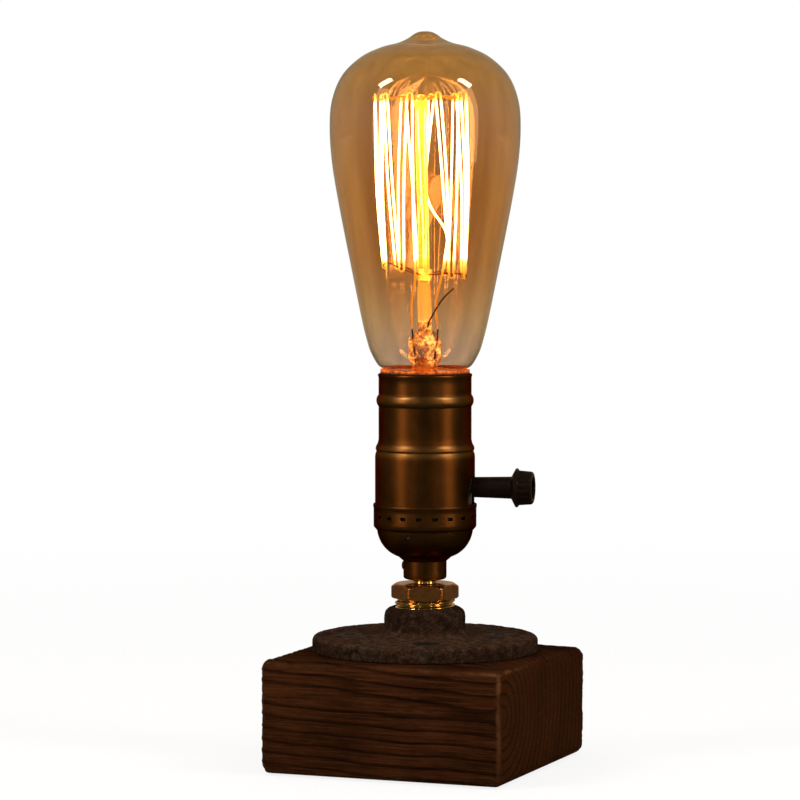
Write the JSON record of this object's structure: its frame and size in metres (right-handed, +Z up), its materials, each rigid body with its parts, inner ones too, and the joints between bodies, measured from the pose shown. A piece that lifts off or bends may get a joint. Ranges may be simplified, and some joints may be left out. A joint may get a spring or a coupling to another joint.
{
  "type": "bare bulb table lamp",
  "caption": "Table lamp: a bare filament bulb in a brass turn-knob socket, on a hexagon adapter and an iron floor flange screwed to a wood block.",
  "frame": {"origin": "middle of the footprint, on the surface that the rubber feet stand on, under the lamp's axis", "axes": "+Z up along the lamp's axis; X and Y square to the sides of the wood block; the cord bush is in the +Y side and the knob points about 10 degrees from +X towards +Y"},
  "size_m": [0.0864, 0.0864, 0.2493],
  "materials": {
    "stained_wood": "satin",
    "foot_rubber": "matte",
    "black_moulding": "satin",
    "cast_iron": "rough",
    "black_screws": "satin",
    "bright_brass": "polished",
    "antique_brass": "satin",
    "sleeve_fibre": "matte",
    "contact_brass": "satin",
    "rotor_moulding": "satin",
    "knob_moulding": "gloss",
    "black_glass": "gloss",
    "solder": "satin",
    "cement": "matte",
    "amber_glass": "gloss",
    "clear_glass": "gloss",
    "wire_metal": "satin",
    "glowing_filament": "matte"
  },
  "bodies": {
    "base": {"wood_block": "stained_wood", "rubber_feet": "foot_rubber", "cord_bush": "black_moulding", "floor_flange": "cast_iron", "flange_screws": "black_screws", "brass_adapter": "bright_brass", "socket_cap": "antique_brass", "set_screw": "antique_brass", "socket_shell": "antique_brass", "insulating_sleeve": "sleeve_fibre", "socket_body": "black_moulding", "screw_shell": "contact_brass", "centre_contact": "contact_brass", "terminal_screws": "contact_brass", "contact_blade": "contact_brass"},
    "switch": {"switch_shaft": "contact_brass", "switch_rotor": "rotor_moulding", "switch_knob": "knob_moulding"},
    "bulb_cap": {"bulb_screw_cap": "contact_brass", "cap_insulator": "black_glass", "cap_contact": "solder"},
    "bulb": {"basing_cement": "cement", "glass_envelope": "amber_glass", "glass_mount": "clear_glass", "mount_bead": "clear_glass", "support_wires": "wire_metal", "anchor_wire": "wire_metal", "lead_wires": "wire_metal", "filament": "glowing_filament"}
  },
  "joints": [
    {"name": "knob_turn", "type": "hinge", "parent": "base", "child": "switch", "pos_m": [0, 0, 0.0952], "axis": [0.9848, 0.1736, 0], "continuous": true},
    {"name": "bulb_rise", "type": "slide", "parent": "base", "child": "bulb_cap", "axis": [0, 0, 1], "range_m": [0, 0.01635]},
    {"name": "bulb_turn", "type": "hinge", "parent": "bulb_cap", "child": "bulb", "pos_m": [0, 0, 0.125], "axis": [0, 0, 1], "range_deg": [0, 1620]}
  ],
  "couplings": [
    {"joint": "bulb_rise", "follows": "bulb_turn", "m_per_rad": 0.00057757}
  ]
}
